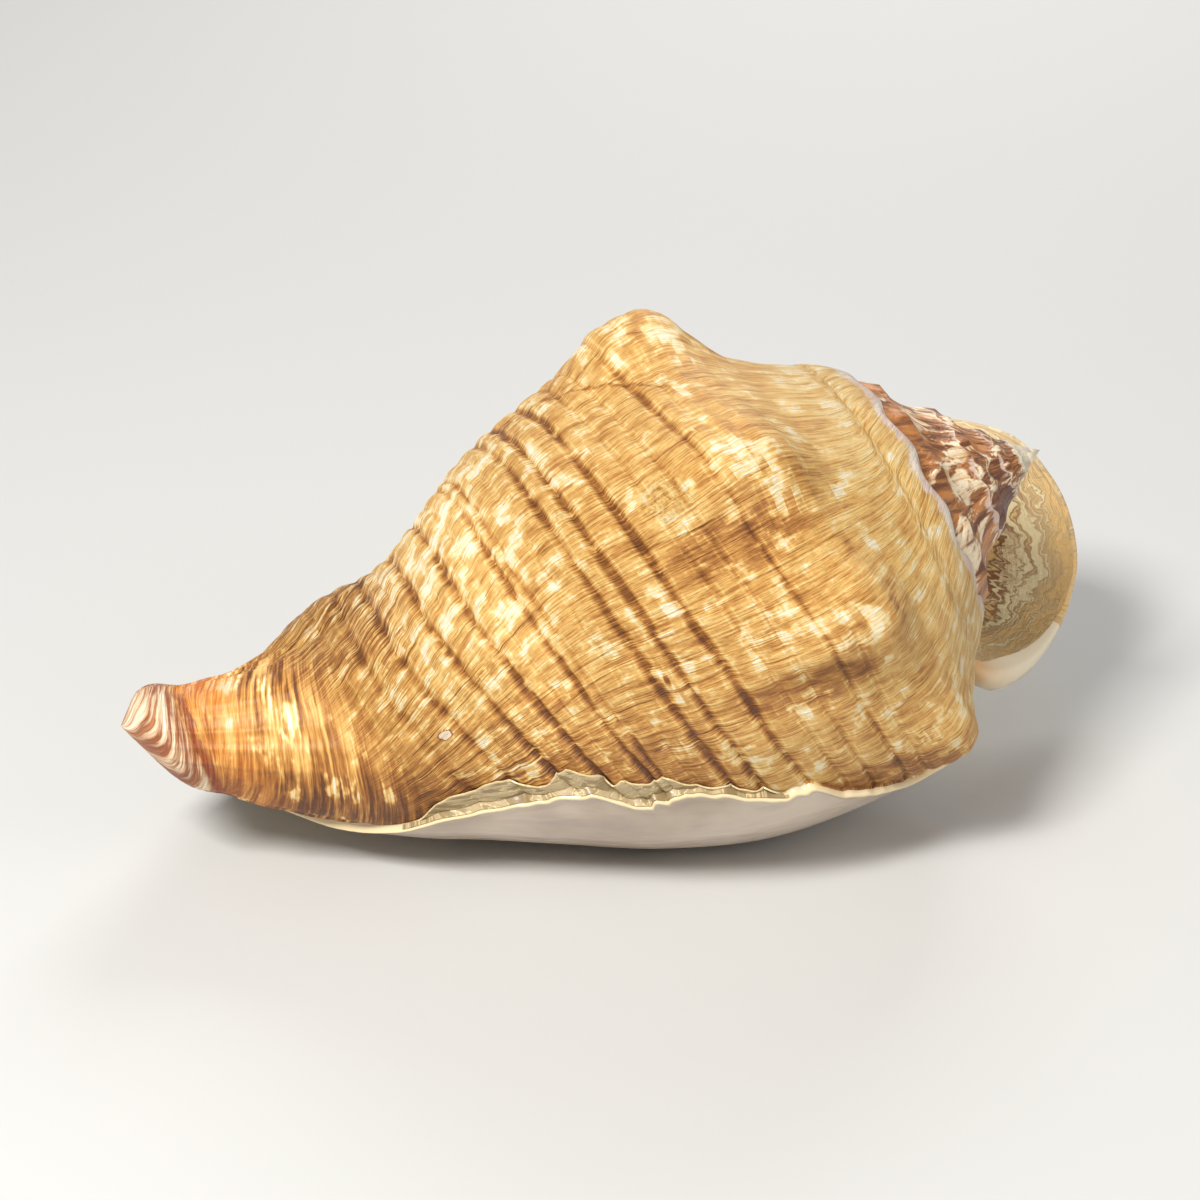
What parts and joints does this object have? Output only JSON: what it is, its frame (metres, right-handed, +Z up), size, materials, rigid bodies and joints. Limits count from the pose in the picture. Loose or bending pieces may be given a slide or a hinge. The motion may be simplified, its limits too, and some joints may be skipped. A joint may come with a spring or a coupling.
{
  "type": "goliath conch shell",
  "caption": "Large conch seashell lying on its mouth: knobbed last whorl, pointed spire, wide flared lip and a tapering canal.",
  "frame": {"origin": "on the surface it rests on, under the middle of its bounding box", "axes": "+X from the canal tip towards the spire's point, +Y towards the flared lip, +Z up"},
  "size_m": [0.3272, 0.2272, 0.1619],
  "materials": {
    "shell": "dull ochre outside with cream blocks, glossy cream glaze around the mouth"
  },
  "bodies": {
    "root": {"shell": "shell"}
  },
  "joints": []
}
